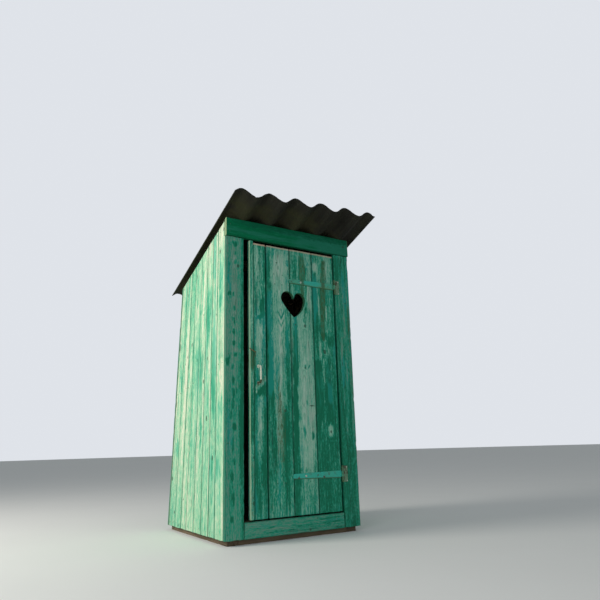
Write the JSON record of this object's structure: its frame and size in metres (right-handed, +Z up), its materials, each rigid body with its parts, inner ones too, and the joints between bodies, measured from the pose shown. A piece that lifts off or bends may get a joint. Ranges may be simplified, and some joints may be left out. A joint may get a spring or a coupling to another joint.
{
  "type": "wooden outhouse",
  "caption": "Small wooden outhouse with board walls, a hinged plank door with a heart cut-out, and a corrugated sheet roof that falls to the rear.",
  "frame": {"origin": "middle of the footprint on the ground, under the middle joist", "axes": "+Z up, -Y the way the door faces, +X to the right seen from the front"},
  "size_m": [1.1278, 1.3037, 2.2536],
  "materials": {
    "frame_timber": "bare weathered timber",
    "floor_boards": "bare worn boards",
    "side_paint": "worn pale green paint over boards",
    "front_paint": "worn teal green paint over boards",
    "header_paint": "dark green paint, satin",
    "door_paint": "worn teal green paint over boards",
    "roof_sheet": "dark weathered fibre cement",
    "rusty_iron": "rusted iron",
    "strap_paint": "bright teal paint on iron",
    "handle_steel": "bare worn steel"
  },
  "bodies": {
    "building": {"left_sill": "frame_timber", "right_sill": "frame_timber", "front_sill": "frame_timber", "rear_sill": "frame_timber", "middle_joist": "frame_timber", "front_left_post": "frame_timber", "front_right_post": "frame_timber", "rear_left_post": "frame_timber", "rear_right_post": "frame_timber", "front_top_rail": "frame_timber", "rear_top_rail": "frame_timber", "left_rafter": "frame_timber", "right_rafter": "frame_timber", "middle_purlin": "frame_timber", "left_mid_rail": "frame_timber", "right_mid_rail": "frame_timber", "rear_mid_rail": "frame_timber", "floor": "floor_boards", "left_wall": "side_paint", "right_wall": "side_paint", "rear_wall": "side_paint", "left_front_board": "front_paint", "right_front_board": "front_paint", "header_board": "header_paint", "threshold_board": "front_paint", "roof_sheet": "roof_sheet", "upper_hinge_plate": "rusty_iron", "lower_hinge_plate": "rusty_iron"},
    "door": {"door_edge_strip": "door_paint", "door_board_1": "door_paint", "door_board_2": "door_paint", "door_board_3": "door_paint", "door_board_4": "door_paint", "upper_ledge": "frame_timber", "lower_ledge": "frame_timber", "door_brace": "frame_timber", "upper_strap": "strap_paint", "lower_strap": "strap_paint", "door_handle": "handle_steel", "door_hook": "rusty_iron"}
  },
  "joints": [
    {"name": "door_hinge", "type": "hinge", "parent": "building", "child": "door", "pos_m": [0.368, -0.528, 1.043], "axis": [0, 0, 1], "range_deg": [0, 170]}
  ]
}
